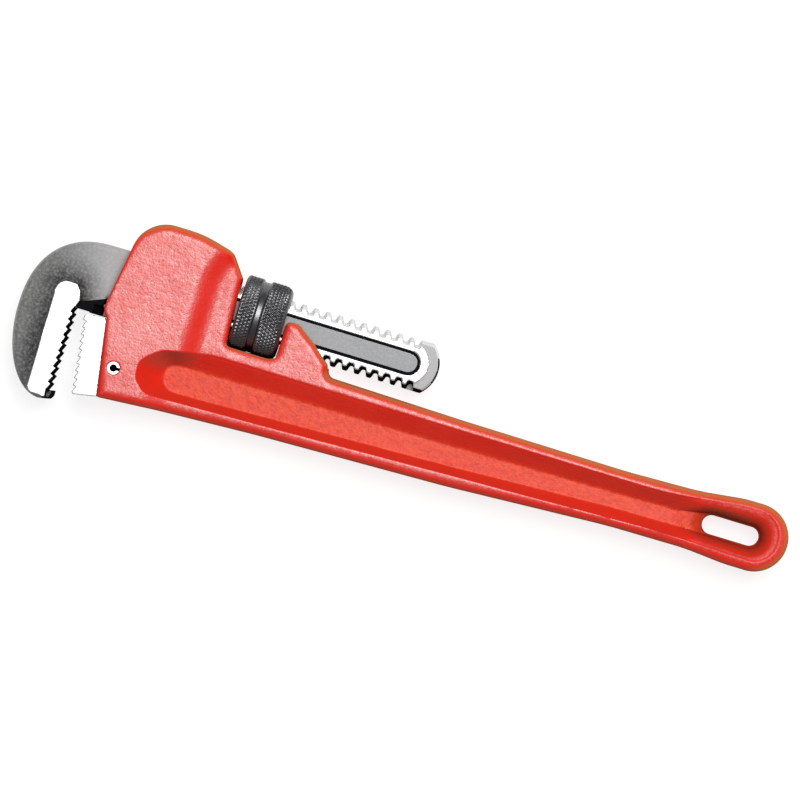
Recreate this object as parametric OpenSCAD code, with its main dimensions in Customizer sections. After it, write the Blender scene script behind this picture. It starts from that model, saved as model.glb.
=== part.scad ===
// Adjustable pipe wrench, lying on its side.
// The parts are drawn in a workshop frame: origin on the heel jaw pin, X along the shank towards
// the handle's free end, Y from the grip towards the shank, Z across the wrench. in_row_frame()
// then moves them so that the origin is under the middle of the whole wrench.

/* [Handle] */
// Thickness of the grip's flanges and of the frame around the nut
grip_t = 19; // [16:0.5:22]
// Thickness of the web between the flanges
web_t = 6; // [4:0.5:8]
// Thickness of the housing
housing_t = 28; // [26:0.5:29]
// Width of the cavity that the shank slides in
cavity_w = 14; // [13.5:0.1:15]

/* [Jaws] */
// Width of the two toothed faces
jaw_w = 21; // [18:0.5:24]
// Thickness of the hook around its toothed block
hook_t = 13; // [12:0.1:13]
// Depth of the teeth on both jaws
tooth_depth = 1.3; // [0.8:0.1:1.5]
// Thickness of the heel jaw's tongue
tongue_t = 9; // [6:0.5:10]

/* [Shank and nut] */
// Thickness of the shank between its two flat sides
shank_t = 12; // [10:0.5:12.5]
// Diameter over the thread's crests
thread_d = 20.6; // [20:0.1:20.8]
// Depth of the thread on the shank
thread_depth = 2.4; // [1.8:0.1:2.6]
// Distance from one thread groove to the next
thread_pitch = 5; // [4.8:0.1:5.2]
// Outer diameter of the nut
nut_d = 31; // [29:0.1:31.4]
// Width of the nut along the shank
nut_w = 19.4; // [17:0.1:19.5]

/* [Pin and springs] */
// Outer diameter of the slotted pin
pin_d = 5; // [4:0.1:6]
// Bore of the slotted pin
pin_bore_d = 3; // [2:0.1:3]
// Outer diameter of the coil spring
coil_d = 8.6; // [7:0.1:9]
// Diameter of the coil spring's wire
wire_d = 1.2; // [0.8:0.1:1.4]
// Thickness of the flat spring
leaf_t = 1; // [0.6:0.1:1.2]

/* [Hidden] */

// Fineness of round surfaces
round_fn = 64;
// Largest turn between two points of a drawn arc, in degrees
arc_step = 10;
// How far a cutter reaches past the face it opens
past = 2;

// Height of the shank's axis over the pin
shank_y = 36;
// The whole wrench runs from the back of the hook to the free end of the handle
hook_back_x = -44.3;
handle_end_x = 277.4;
// Lowest point of the hook and highest point of the housing
hook_low_y = -20.1;
housing_top_y = 61.3;
// The workshop frame's offset from the row frame
row_offset = [-(hook_back_x + handle_end_x) / 2, -(hook_low_y + housing_top_y) / 2, nut_d / 2];

// Free end of the grip, a round of this radius
grip_end_r = 13.7;
grip_end_low_y = -4.3;
grip_end_top_y = grip_end_low_y + 2 * grip_end_r;

// Notch that holds the nut: its two walls, its floor near the handle's two faces, and the
// clearance round the nut in the hollow between them
notch_front_x = 40.1;
notch_rear_x = 60.2;
notch_floor_y = 21.4;
nut_gap = 0.5;
// Cavity for the shank: front end just ahead of the housing, floor and roof, and the floor of the
// slot between the ears
cavity_front_x = -11.5;
cavity_floor_y = 22.2;
cavity_roof_y = 47.6;
ear_slot_floor_y = 24.6;

// Seat of the heel jaw on the handle, a straight line from top to bottom
seat_top = [-8.3, 18.1];
seat_low = [-3.4, -13];
// Half height of the tongue around the pin, and the clearance around the tongue
tongue_r = 6.5;
tongue_gap = 0.1;
// Radial clearance of the pin in the handle's bore and in the tongue's bore
pin_gap = 0.02;
tongue_bore_gap = 0.05;

// The pin's hole is blind: its floor, and how far the pin stays below the housing's upper side
pin_hole_floor_z = -12;
pin_recess = 0.2;

// Coil spring's pocket in the housing floor
coil_x = 9;
pocket_floor_y = 12.4;
pocket_r = coil_d / 2 + 0.5;

// Side view of the handle: corner x, corner y, corner radius, anticlockwise from the lower front
handle_outline = [
    [seat_low[0], seat_low[1], 1],
    [20, -11.3, 80],
    [60, -9.3, 150],
    [140, -6.9, 250],
    [206, -3.2, 150],
    [238, -2.9, 60],
    [255, grip_end_low_y, 40],
    [handle_end_x, grip_end_low_y, grip_end_r - 0.01],
    [handle_end_x, grip_end_top_y, grip_end_r - 0.01],
    [257, grip_end_top_y, 40],
    [238, 20.7, 60],
    [208, 19.8, 150],
    [140, 20.3, 250],
    [82.4, 21.4, 3],
    [81.4, 26.2, 3],
    [74, 32.8, 16],
    [66, 38.2, 4],
    [notch_rear_x + 0.3, 37.7, 2.2],
    [notch_rear_x, notch_floor_y, 3.6],
    [notch_front_x, notch_floor_y, 2],
    [38.4, 49, 1],
    [31.8, 58, 5],
    [19, housing_top_y, 45],
    [-4.7, housing_top_y, 14],
    [-10.3, 24, 3],
    [-10.4, 21.2, 2],
    [seat_top[0], seat_top[1], 0.5]
];

// Side view of the housing's thick part, which the grip runs into
housing_outline = [
    [seat_low[0], seat_low[1], 1],
    [18, -11.5, 2],
    [14, -4, 2],
    [14, 12, 2],
    [28, 15, 2],
    [28, 59.2, 3],
    [19, housing_top_y, 45],
    [-4.7, housing_top_y, 14],
    [-10.3, 24, 3],
    [-10.4, 21.2, 2],
    [seat_top[0], seat_top[1], 0.5]
];

// Side view of the lip that the housing reaches over the heel jaw's top
lip_outline = [[-6, 18.3], [-6, 22.2], [-11.6, 22.2], [-11.6, 23.3], [-16.3, 21.4], [-16.3, 18.3]];

// Side view of the hollow between the grip's flanges
recess_outline = [
    [14.4, -4.2, 6],
    [60, -3.4, 100],
    [140, -0.4, 200],
    [205, 2.2, 100],
    [240, 2.4, 60],
    [267.5, 2.6, 6.4],
    [267.5, 15.6, 6.4],
    [244, 15.6, 30],
    [205, 12.9, 100],
    [60, 12.4, 200],
    [14.4, 12.2, 6]
];

// Hang slot through the web: its two end centres and half its height
slot_y = 9.2;
slot_r = 3.8;
slot_left_x = 246.4;
slot_right_x = 261.8;

// Back of the hook: an upper and a lower quarter round a point on the widest line
hook_wide_y = 13.4;
hook_crown_x = -14;
hook_crown_y = 46.6;
hook_chin_x = -25.2;
// Power of the rounded quarter: 2 is an ellipse, more is squarer
hook_crown_power = 2.35;
// Degrees between two points of the hook's back
hook_step = 6;

// Hook jaw teeth: tip line from the top tooth down, tips lean upwards
hook_tooth_top = [-21.7, 19.4];
hook_tooth_low = [-22.2, -13.2];
hook_tooth_count = 11;
// Heel jaw teeth: tip line from the top tooth down, tips lean downwards
heel_tooth_top = [-17.3, 14.9];
heel_tooth_low = [-13.8, -11.2];
heel_tooth_count = 10;
// How far along the tooth line the short flank of a tooth reaches
short_flank = 0.4;

// Side view of the two cheeks under the hook's neck, which pass beside the flat spring
cheek_outline = [[-22, 18.6], [-15, 18.6], [-15, 22.3], [-11.5, 22.3], [-11.5, 27], [-22, 27]];
cheek_gap = 0.3;

// Smooth part of the shank, from the hook to the thread's first groove
smooth_low_y = 25.7;
smooth_top_y = 46.6;
first_groove_x = 32.8;
groove_count = 17;
// The shank's end is a round about this point
shank_end_r = 13.5;
shank_end_x = 110.5;
// Half width of a thread groove at its root and its growth with height
groove_root = 0.75;
groove_flank = 0.375;
// Axial and radial clearance between the nut's thread and the shank's
thread_gap = 0.3;
// The nut's thread reaches inwards to this radius
nut_thread_r = 9.05;
// Shallow panel on both sides of the shank
panel_r = 4.9;
panel_depth = 0.7;
panel_front_x = 20;
panel_rear_x = 111.3;

// Nut position and its bands
nut_x = 40.4;
band_groove_x = 6.9;
band_groove_w = 2.8;
band_groove_depth = 0.9;
nut_chamfer = 1.4;

// Flat spring: front end, rear end, where it is highest and how high it rises there
leaf_front_x = -11.4;
leaf_rear_x = 34;
leaf_w = 9;
leaf_rise = 2.1;
leaf_rise_half = 13;
rivet_x = 29;
rivet_r = 1.6;
rivet_head_r = 3.2;
rivet_head_h = 1.2;
rivet_reach = 4;

// Points of a fillet of radius c[2] at corner c between the corners before and after it
function fillet(before, c, after) =
    let (
        p = [c[0], c[1]],
        u = ([before[0], before[1]] - p) / norm([before[0], before[1]] - p),
        v = ([after[0], after[1]] - p) / norm([after[0], after[1]] - p),
        half = acos(u * v) / 2,
        centre = p + (u + v) / norm(u + v) * c[2] / sin(half),
        start = p + u * c[2] / tan(half) - centre,
        finish = p + v * c[2] / tan(half) - centre,
        a = atan2(start[1], start[0]),
        turn = (atan2(finish[1], finish[0]) - a + 540) % 360 - 180,
        steps = max(1, ceil(abs(turn) / arc_step))
    )
    [for (i = [0:steps]) centre + c[2] * [cos(a + turn * i / steps), sin(a + turn * i / steps)]];

// A closed outline from corners given as [x, y, radius]
function rounded(corners) =
    let (n = len(corners))
    [for (i = [0:n - 1]) each fillet(corners[(i + n - 1) % n], corners[i], corners[(i + 1) % n])];

// A point of a rounded quarter: angle 0 is on the side, 90 on the crown
function quarter(centre, size, angle, power) =
    [centre[0] + size[0] * pow(cos(angle), 2 / power),
     centre[1] + size[1] * pow(sin(angle), 2 / power)];

// Sawtooth line from top to low, with tips on the line and valleys behind it.
// lean 1 puts each short flank below its tip, lean 0 above the next tip.
function saw(top, low, count, back, lean) =
    let (
        step = (low - top) / (count - 1),
        pitch = norm(step),
        inward = back * [step[1], -step[0]] / pitch * tooth_depth,
        near = lean ? short_flank : pitch - short_flank
    )
    [for (i = [0:count - 1], k = [0, 1])
        top + step * i + (k == 0 ? [0, 0] : inward + step / pitch * near)];

module in_row_frame() {
    translate(row_offset) children();
}

// Extrudes a side view symmetrically about the wrench's middle plane
module plate(thickness) {
    translate([0, 0, -thickness / 2]) linear_extrude(thickness) children();
}

// Extrudes a side view from one height to another on both sides of the middle plane
module both_sides(from, to) {
    for (side = [0, 1])
        mirror([0, 0, side]) translate([0, 0, from]) linear_extrude(to - from) children();
}

module tongue_shape(grow) {
    circle(tongue_r + grow, $fn = round_fn);
    translate([-9, -tongue_r - grow]) square([9, 2 * (tongue_r + grow)]);
}

module hang_slot_shape() {
    for (x = [slot_left_x, slot_right_x])
        translate([x, slot_y]) circle(slot_r, $fn = round_fn);
    translate([slot_left_x, slot_y - slot_r])
        square([slot_right_x - slot_left_x, 2 * slot_r]);
}

module handle() {
    color("red") in_row_frame() difference() {
        union() {
            plate(grip_t) polygon(rounded(handle_outline));
            plate(housing_t) polygon(rounded(housing_outline));
            plate(leaf_w) polygon(lip_outline);
        }
        both_sides(web_t / 2, housing_t / 2 + past) polygon(rounded(recess_outline));
        plate(grip_t + past) hang_slot_shape();
        // hollow that follows the nut's round between the notch's walls
        translate([notch_front_x, shank_y, 0]) rotate([0, 90, 0])
            cylinder(h = notch_rear_x - notch_front_x, r = nut_d / 2 + nut_gap, $fn = round_fn);
        // cavity for the shank, open at the front and into the notch
        translate([cavity_front_x, cavity_floor_y, -cavity_w / 2])
            cube([notch_front_x - cavity_front_x + past, cavity_roof_y - cavity_floor_y, cavity_w]);
        // slot between the two ears behind the nut
        translate([notch_rear_x - past, ear_slot_floor_y, -cavity_w / 2])
            cube([30, 20, cavity_w]);
        plate(tongue_t + 2 * tongue_gap) tongue_shape(tongue_gap);
        translate([0, 0, pin_hole_floor_z])
            cylinder(h = housing_t, r = pin_d / 2 + pin_gap, $fn = round_fn);
        translate([coil_x, pocket_floor_y, 0]) rotate([-90, 0, 0])
            cylinder(h = cavity_floor_y - pocket_floor_y + past, r = pocket_r, $fn = round_fn);
        translate([rivet_x, cavity_floor_y + past, 0]) rotate([90, 0, 0])
            cylinder(h = rivet_reach + past, r = rivet_r + pin_gap, $fn = round_fn);
    }
}

// Side view of the hook without its teeth
module hook_shape() {
    crown = [for (a = [90:-hook_step:0])
        quarter([hook_crown_x, hook_wide_y],
                [hook_back_x - hook_crown_x, hook_crown_y - hook_wide_y], a, hook_crown_power)];
    chin = [for (a = [hook_step:hook_step:90])
        quarter([hook_chin_x, hook_wide_y],
                [hook_back_x - hook_chin_x, hook_low_y - hook_wide_y], a, 2)];
    throat = [[-21.6, hook_low_y + 0.8], [-20.6, -17.8], [-20.6, -15.6], [-24.6, -16.4],
              [-24.6, 21], [-20.8, 21.5], [-10.5, smooth_low_y], [0, smooth_low_y],
              [0, hook_crown_y]];
    polygon(concat(crown, chin, throat));
}

// Side view of the toothed block, from its rounded top to the rim at its foot
module hook_block_shape() {
    teeth = saw(hook_tooth_top, hook_tooth_low, hook_tooth_count, 1, false);
    top = fillet([-22, 27.8, 0], [-31.5, 28, 4.4], [-31.1, -18.7, 0]);
    foot = fillet([-31.5, 28, 0], [-31.1, -18.7, 2.5], [-23, -18.9, 0]);
    polygon(concat([[-20.8, 21.5], [-21.6, 25.4], [-23.4, 27.6]], top, foot,
                   [[-23.2, -18.8]], [for (i = [len(teeth) - 1:-1:0]) teeth[i]]));
}

// Half a ring with the section of one thread groove, tilted to follow the thread's helix.
// side 1 cuts the upper edge of the shank and side -1 the lower one.
module groove_ring(x, side) {
    root_r = thread_d / 2 - thread_depth;
    reach = thread_depth + past;
    tilt = atan(thread_pitch / (PI * (thread_d - thread_depth)));
    translate([x, shank_y, 0]) rotate([0, side * tilt, 0]) rotate([0, 90, 0])
        rotate([0, 0, side > 0 ? 0 : 180])
        rotate_extrude(angle = 180, $fn = round_fn)
            polygon([[root_r, -groove_root], [root_r + reach, -groove_root - reach * groove_flank],
                     [root_r + reach, groove_root + reach * groove_flank], [root_r, groove_root]]);
}

module shank() {
    difference() {
        union() {
            intersection() {
                translate([first_groove_x - 3, shank_y, 0]) rotate([0, 90, 0])
                    cylinder(h = 100, r = thread_d / 2, $fn = 2 * round_fn);
                plate(shank_t) translate([shank_end_x, shank_y]) union() {
                    circle(shank_end_r, $fn = 2 * round_fn);
                    translate([-90, -shank_end_r]) square([90, 2 * shank_end_r]);
                }
            }
            translate([-past, smooth_low_y, -shank_t / 2])
                cube([first_groove_x - 1, smooth_top_y - smooth_low_y, shank_t]);
        }
        for (i = [0:groove_count - 1]) {
            groove_ring(first_groove_x + i * thread_pitch, 1);
            groove_ring(first_groove_x + (i + 0.5) * thread_pitch, -1);
        }
        both_sides(shank_t / 2 - panel_depth, shank_t) {
            for (x = [panel_front_x, panel_rear_x])
                translate([x, shank_y]) circle(panel_r, $fn = round_fn);
            translate([panel_front_x, shank_y - panel_r])
                square([panel_rear_x - panel_front_x, 2 * panel_r]);
        }
    }
}

module hook_jaw() {
    color("dimgray") in_row_frame() union() {
        plate(hook_t) hook_shape();
        plate(jaw_w) hook_block_shape();
        both_sides(leaf_w / 2 + cheek_gap, hook_t / 2) polygon(cheek_outline);
        shank();
    }
}

// Groove between the turns of the nut's thread: a section of [radius, distance along the axis]
// points swept along the helix, past both faces of the nut
module nut_thread_groove() {
    inner_r = nut_thread_r - 0.6;
    outer_r = thread_d / 2 + thread_gap;
    // half width of the nut's ridge at radius r, thread_gap clear of the shank's groove
    function ridge(r) = groove_root + (r - thread_d / 2 + thread_depth) * groove_flank - thread_gap;
    section = [[inner_r, ridge(inner_r)], [outer_r, ridge(outer_r)],
               [outer_r, thread_pitch - ridge(outer_r)], [inner_r, thread_pitch - ridge(inner_r)]];
    corners = len(section);
    steps = 24;
    first_turn = floor((nut_x - first_groove_x) / thread_pitch) - 1;
    rings = steps * (ceil(nut_w / thread_pitch) + 3);
    points = [for (i = [0:rings], s = section)
        let (turn = first_turn + i / steps)
        [first_groove_x + s[1] + thread_pitch * turn,
         shank_y + s[0] * cos(360 * turn), s[0] * sin(360 * turn)]];
    sides = [for (i = [0:rings - 1], k = [0:corners - 1])
        let (a = corners * i + k, b = corners * i + (k + 1) % corners)
        each [[a, b, b + corners], [a, b + corners, a + corners]]];
    polyhedron(points, concat([[for (k = [corners - 1:-1:0]) k]], sides,
                              [[for (k = [0:corners - 1]) corners * rings + k]]));
}

// Half section of the nut: distance along the axis against radius
module nut_section() {
    outer_r = nut_d / 2;
    band_end_x = band_groove_x + band_groove_w;
    polygon([
        [nut_thread_r, 0],
        [outer_r - nut_chamfer, 0],
        [outer_r, nut_chamfer],
        [outer_r, band_groove_x],
        [outer_r - band_groove_depth, band_groove_x + band_groove_depth / 2],
        [outer_r - band_groove_depth, band_end_x - band_groove_depth / 2],
        [outer_r, band_end_x],
        [outer_r, nut_w - nut_chamfer],
        [outer_r - nut_chamfer, nut_w],
        [nut_thread_r, nut_w]
    ]);
}

module adjusting_nut() {
    color("darkslategray") in_row_frame() difference() {
        translate([nut_x, shank_y, 0]) rotate([0, 90, 0])
            rotate_extrude($fn = 2 * round_fn) nut_section();
        nut_thread_groove();
    }
}

module heel_jaw() {
    teeth = saw(heel_tooth_top, heel_tooth_low, heel_tooth_count, -1, true);
    seat_gap = 0.05;
    color("gainsboro") in_row_frame() difference() {
        union() {
            plate(jaw_w)
                polygon(concat([[seat_top[0] - seat_gap, seat_top[1] - 0.6], [-9.4, 18],
                                [-16.6, 17.5], [-17.2, 16.8]], teeth,
                               [[-13.4, -13.8], [-12.8, -14.6], [-5, -13.2],
                                [seat_low[0] - seat_gap, seat_low[1] + 0.3]]));
            plate(tongue_t) tongue_shape(0);
        }
        cylinder(h = jaw_w, r = pin_d / 2 + tongue_bore_gap, center = true, $fn = round_fn);
    }
}

module heel_jaw_pin() {
    slit = 1.3;
    pin_length = housing_t / 2 - pin_recess - pin_hole_floor_z;
    color("silver") in_row_frame() translate([0, 0, pin_hole_floor_z]) difference() {
        cylinder(h = pin_length, d = pin_d, $fn = round_fn);
        translate([0, 0, -past])
            cylinder(h = pin_length + 2 * past, d = pin_bore_d, $fn = round_fn);
        translate([0, -slit / 2, -past]) cube([pin_d, slit, pin_length + 2 * past]);
    }
}

// A compressed coil spring with flattened end turns, standing in its pocket
module coil_spring() {
    coil_low_y = pocket_floor_y + 0.1;
    coil_top_y = cavity_floor_y + 1.5;
    turns = 5;
    steps = 16;
    sides = 8;
    mean_r = (coil_d - wire_d) / 2;
    rise = coil_top_y - coil_low_y - wire_d;
    rings = turns * steps;
    // share of the rise at ring i: the first and last turns lie flat
    function climb(i) = min(1, max(0, (i / steps - 1) / (turns - 2)));
    // the flat end turns thin their pitch to one wire so they do not cut into themselves
    points = [for (i = [0:rings], k = [0:sides - 1])
        let (
            a = 360 * i / steps,
            b = 360 * k / sides,
            r = mean_r + wire_d / 2 * cos(b),
            y = coil_low_y + wire_d / 2 + (rise - 2 * wire_d * 1.05) * climb(i)
                + wire_d * 1.05 * (min(1, i / steps) + max(0, i / steps - turns + 1))
                + wire_d / 2 * sin(b)
        )
        [coil_x + r * cos(a), y, r * sin(a)]];
    skin = [for (i = [0:rings - 1], k = [0:sides - 1])
        let (a = sides * i + k, b = sides * i + (k + 1) % sides)
        each [[a, b + sides, b], [a, a + sides, b + sides]]];
    color("gray") in_row_frame()
        polyhedron(points, concat([[for (k = [0:sides - 1]) k]], skin,
                                  [[for (k = [sides - 1:-1:0]) sides * rings + k]]));
}

// Height of the flat spring's middle line at x: flat, with one smooth rise over the coil spring
function leaf_y(x) =
    let (d = min(leaf_rise_half, abs(x - coil_x)))
    cavity_floor_y + leaf_t / 2 + 0.02 + leaf_rise * (1 + cos(180 * d / leaf_rise_half)) / 2;

module flat_spring() {
    step = 1.5;
    xs = concat([leaf_front_x], [for (x = [coil_x - leaf_rise_half:step:coil_x + leaf_rise_half]) x],
                [leaf_rear_x]);
    upper = [for (x = xs) [x, leaf_y(x) + leaf_t / 2]];
    lower = [for (i = [len(xs) - 1:-1:0]) [xs[i], leaf_y(xs[i]) - leaf_t / 2]];
    color("dimgray") in_row_frame() difference() {
        plate(leaf_w) polygon(concat(upper, lower));
        translate([rivet_x, cavity_floor_y - past, 0]) rotate([-90, 0, 0])
            cylinder(h = 3 * past, r = rivet_r + tongue_bore_gap, $fn = round_fn);
    }
}

module spring_rivet() {
    color("silver") in_row_frame() union() {
        translate([rivet_x, cavity_floor_y - rivet_reach + 0.1, 0]) rotate([-90, 0, 0])
            cylinder(h = rivet_reach + leaf_t, r = rivet_r, $fn = round_fn);
        translate([rivet_x, cavity_floor_y + leaf_t + 0.05, 0]) rotate([-90, 0, 0])
            cylinder(h = rivet_head_h, r = rivet_head_r, $fn = round_fn);
    }
}

handle();
hook_jaw();
adjusting_nut();
heel_jaw();
heel_jaw_pin();
coil_spring();
flat_spring();
spring_rivet();
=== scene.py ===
"""Looks of an adjustable pipe wrench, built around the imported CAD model.

Shapes are written in the workshop frame, in millimetres: origin on the heel jaw's pin, X along the
shank towards the grip's end, Y from the grip towards the shank, Z across the wrench.
Cast and forged pieces are level sets of a distance field, so that their blends are true fillets.
"""

import math

import bpy
import numpy as np
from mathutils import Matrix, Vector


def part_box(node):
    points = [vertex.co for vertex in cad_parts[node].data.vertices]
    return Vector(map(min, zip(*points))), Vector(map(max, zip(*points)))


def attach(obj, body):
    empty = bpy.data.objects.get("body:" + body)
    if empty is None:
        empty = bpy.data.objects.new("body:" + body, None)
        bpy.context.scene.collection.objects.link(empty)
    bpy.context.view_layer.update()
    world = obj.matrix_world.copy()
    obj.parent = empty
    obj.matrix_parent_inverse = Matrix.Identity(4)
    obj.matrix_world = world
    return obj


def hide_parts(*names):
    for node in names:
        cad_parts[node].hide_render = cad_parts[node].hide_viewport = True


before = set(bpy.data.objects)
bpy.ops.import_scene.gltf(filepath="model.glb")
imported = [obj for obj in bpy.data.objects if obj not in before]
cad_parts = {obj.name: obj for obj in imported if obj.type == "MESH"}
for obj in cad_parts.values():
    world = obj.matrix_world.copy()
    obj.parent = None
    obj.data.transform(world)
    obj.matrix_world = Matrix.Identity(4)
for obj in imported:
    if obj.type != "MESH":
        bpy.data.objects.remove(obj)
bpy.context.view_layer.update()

MM = 0.001
PIN_R = 2.5
PIN_LOW, PIN_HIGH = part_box("heel_jaw_pin")
CASTING_LOW, CASTING_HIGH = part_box("handle")
PIN = np.array([
    PIN_LOW.x + PIN_R * MM,
    (PIN_LOW.y + PIN_HIGH.y) / 2,
    (CASTING_LOW.z + CASTING_HIGH.z) / 2,
])


def workshop_box(node):
    """Lowest and highest corner of a CAD node in the workshop frame, in millimetres."""
    low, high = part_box(node)
    return (np.array(low) - PIN) / MM, (np.array(high) - PIN) / MM


HANDLE_LOW, HANDLE_HIGH = workshop_box("handle")
HOOK_LOW, HOOK_HIGH = workshop_box("hook_jaw")
HEEL_LOW, HEEL_HIGH = workshop_box("heel_jaw")
NUT_LOW, NUT_HIGH = workshop_box("adjusting_nut")


# ---------------------------------------------------------------- outlines

ARC_STEP = math.radians(6)


def rounded(corners):
    """A closed outline from corners given as (x, y, radius)."""
    points = []
    count = len(corners)
    for i, (x, y, radius) in enumerate(corners):
        corner = np.array([x, y])
        before = np.array(corners[i - 1][:2]) - corner
        after = np.array(corners[(i + 1) % count][:2]) - corner
        u = before / np.linalg.norm(before)
        v = after / np.linalg.norm(after)
        half = math.acos(np.clip(u @ v, -1, 1)) / 2
        middle = (u + v) / np.linalg.norm(u + v)
        centre = corner + middle * radius / math.sin(half)
        start = corner + u * radius / math.tan(half) - centre
        finish = corner + v * radius / math.tan(half) - centre
        angle = math.atan2(start[1], start[0])
        turn = math.atan2(finish[1], finish[0]) - angle
        turn = (turn + math.pi) % (2 * math.pi) - math.pi
        steps = max(1, math.ceil(abs(turn) / ARC_STEP))
        for k in range(steps + 1):
            a = angle + turn * k / steps
            points.append(centre + radius * np.array([math.cos(a), math.sin(a)]))
    return np.array(points)


def quarter(centre, size, angle, power):
    """A point of a rounded quarter: angle 0 is on the side, 90 degrees on the crown."""
    a = math.radians(angle)
    return [
        centre[0] + size[0] * max(0, math.cos(a)) ** (2 / power),
        centre[1] + size[1] * max(0, math.sin(a)) ** (2 / power),
    ]


def saw(top, low, count, depth, back, tip_first):
    """Sawtooth line from top to low with its tips on the line. The short flank is below each tip
    if tip_first, else above it."""
    top = np.array(top)
    step = (np.array(low) - top) / (count - 1)
    pitch = np.linalg.norm(step)
    inward = back * depth * np.array([step[1], -step[0]]) / pitch
    short = 0.4
    near = short if tip_first else pitch - short
    points = []
    for i in range(count):
        tip = top + step * i
        points += [tip, tip + inward + step / pitch * near]
    return points


class Outline:
    """Signed distance to a closed outline, negative inside, read from a fine table."""

    STEP = 0.25

    def __init__(self, points, margin=16):
        points = np.asarray(points, float)
        self.low = points.min(0) - margin
        size = points.max(0) + margin - self.low
        count = np.ceil(size / self.STEP).astype(int) + 1
        x = (self.low[0] + self.STEP * np.arange(count[0]))[:, None]
        y = (self.low[1] + self.STEP * np.arange(count[1]))[None, :]
        nearest = np.full(tuple(count), 1e9)
        inside = np.zeros(tuple(count), bool)
        for (ax, ay), (bx, by) in zip(points, np.roll(points, -1, 0)):
            ex, ey = bx - ax, by - ay
            length = ex * ex + ey * ey
            if length < 1e-12:
                continue
            t = np.clip(((x - ax) * ex + (y - ay) * ey) / length, 0, 1)
            gap = (x - ax - t * ex) ** 2 + (y - ay - t * ey) ** 2
            np.minimum(nearest, gap, out=nearest)
            if ay != by:
                crosses = (ay > y) != (by > y)
                inside ^= crosses & (x < ax + (y - ay) * ex / ey)
        self.table = np.sqrt(nearest) * np.where(inside, -1, 1)

    def __call__(self, x, y):
        x, y = np.broadcast_arrays(x, y)
        rows, columns = self.table.shape
        u = np.clip((x - self.low[0]) / self.STEP, 0, rows - 1.001)
        v = np.clip((y - self.low[1]) / self.STEP, 0, columns - 1.001)
        i, j = u.astype(int), v.astype(int)
        u, v = u - i, v - j
        t = self.table
        return (
            (t[i, j] * (1 - u) + t[i + 1, j] * u) * (1 - v)
            + (t[i, j + 1] * (1 - u) + t[i + 1, j + 1] * u) * v
        )


# ---------------------------------------------------------------- fields


def smooth(low, high, value):
    """Soft step from 0 at low to 1 at high."""
    t = np.clip((value - low) / (high - low), 0, 1)
    return t * t * (3 - 2 * t)


def round_and(a, b, radius):
    """Intersection of two fields whose common edge is rounded to a radius."""
    both = np.sqrt(np.maximum(a + radius, 0) ** 2 + np.maximum(b + radius, 0) ** 2)
    return np.minimum(np.maximum(a, b), -radius) + both


def blend_min(a, b, width):
    """Smaller of two values, with a smooth change over from one to the other."""
    h = np.maximum(width - np.abs(a - b), 0) / width
    return np.minimum(a, b) - h * h * width / 4


def slab(value, low, high):
    """Field of the layer between two values of a coordinate."""
    return np.maximum(low - value, value - high)


def net_of(field, low, high, cell):
    """Closed mesh of a field's zero surface inside a box: one vertex in each cell that it crosses,
    then moved onto the surface. Returns points and quads."""
    pad = 2.5 * cell
    start = np.array(low) - pad
    count = np.ceil((np.array(high) + pad - start) / cell).astype(int) + 1
    axes = [start[a] + cell * np.arange(count[a]) for a in range(3)]
    value = field(axes[0][:, None, None], axes[1][None, :, None], axes[2][None, None, :])
    value = np.ascontiguousarray(value, dtype=np.float32)
    solid = value < 0
    corner_count = np.zeros(tuple(count - 1), np.uint8)
    corners = [(i, j, k) for i in (0, 1) for j in (0, 1) for k in (0, 1)]
    nx, ny, nz = count - 1
    for i, j, k in corners:
        corner_count += solid[i:nx + i, j:ny + j, k:nz + k]
    cells = np.argwhere((corner_count > 0) & (corner_count < 8))
    index = np.full(tuple(count - 1), -1, np.int32)
    index[tuple(cells.T)] = np.arange(len(cells))
    total = np.zeros((len(cells), 3))
    crossings = np.zeros(len(cells))
    for a in range(3):
        for corner in corners:
            if corner[a]:
                continue
            near = cells + corner
            far = near.copy()
            far[:, a] += 1
            v0, v1 = value[tuple(near.T)], value[tuple(far.T)]
            cut = (v0 < 0) != (v1 < 0)
            t = np.where(cut, v0 / np.where(cut, v0 - v1, 1), 0)
            place = near.astype(float)
            place[:, a] += t
            total += place * cut[:, None]
            crossings += cut
    points = start + cell * total / crossings[:, None]
    quads = []
    for a in range(3):
        b, c = (a + 1) % 3, (a + 2) % 3
        cut = [slice(1, -1)] * 3
        cut[a] = slice(None, -1)
        ahead = list(cut)
        ahead[a] = slice(1, None)
        first, second = solid[tuple(cut)], solid[tuple(ahead)]
        edges = np.argwhere(first != second)
        outward = first[tuple(edges.T)]
        edges[:, b] += 1
        edges[:, c] += 1
        ring = []
        for db, dc in ((1, 1), (0, 1), (0, 0), (1, 0)):
            near = edges.copy()
            near[:, b] -= db
            near[:, c] -= dc
            ring.append(index[tuple(near.T)])
        ring = np.stack(ring, 1)
        ring[~outward] = ring[~outward][:, ::-1]
        quads.append(ring)
    settle(points, field, cell)
    return points, np.concatenate(quads)


def settle(points, field, cell, rounds=3):
    """Moves points along the field's slope onto its zero surface, by at most half a cell a time."""
    small = 0.04
    for _ in range(rounds):
        x, y, z = points.T
        here = field(x, y, z)
        slope = np.stack([
            field(x + small, y, z) - field(x - small, y, z),
            field(x, y + small, z) - field(x, y - small, z),
            field(x, y, z + small) - field(x, y, z - small),
        ], 1) / (2 * small)
        steep = np.maximum((slope ** 2).sum(1), 0.05)
        move = -slope * (here / steep)[:, None]
        far = np.sqrt((move ** 2).sum(1))
        points += move * np.minimum(1, 0.5 * cell / np.maximum(far, 1e-9))[:, None]


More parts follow.
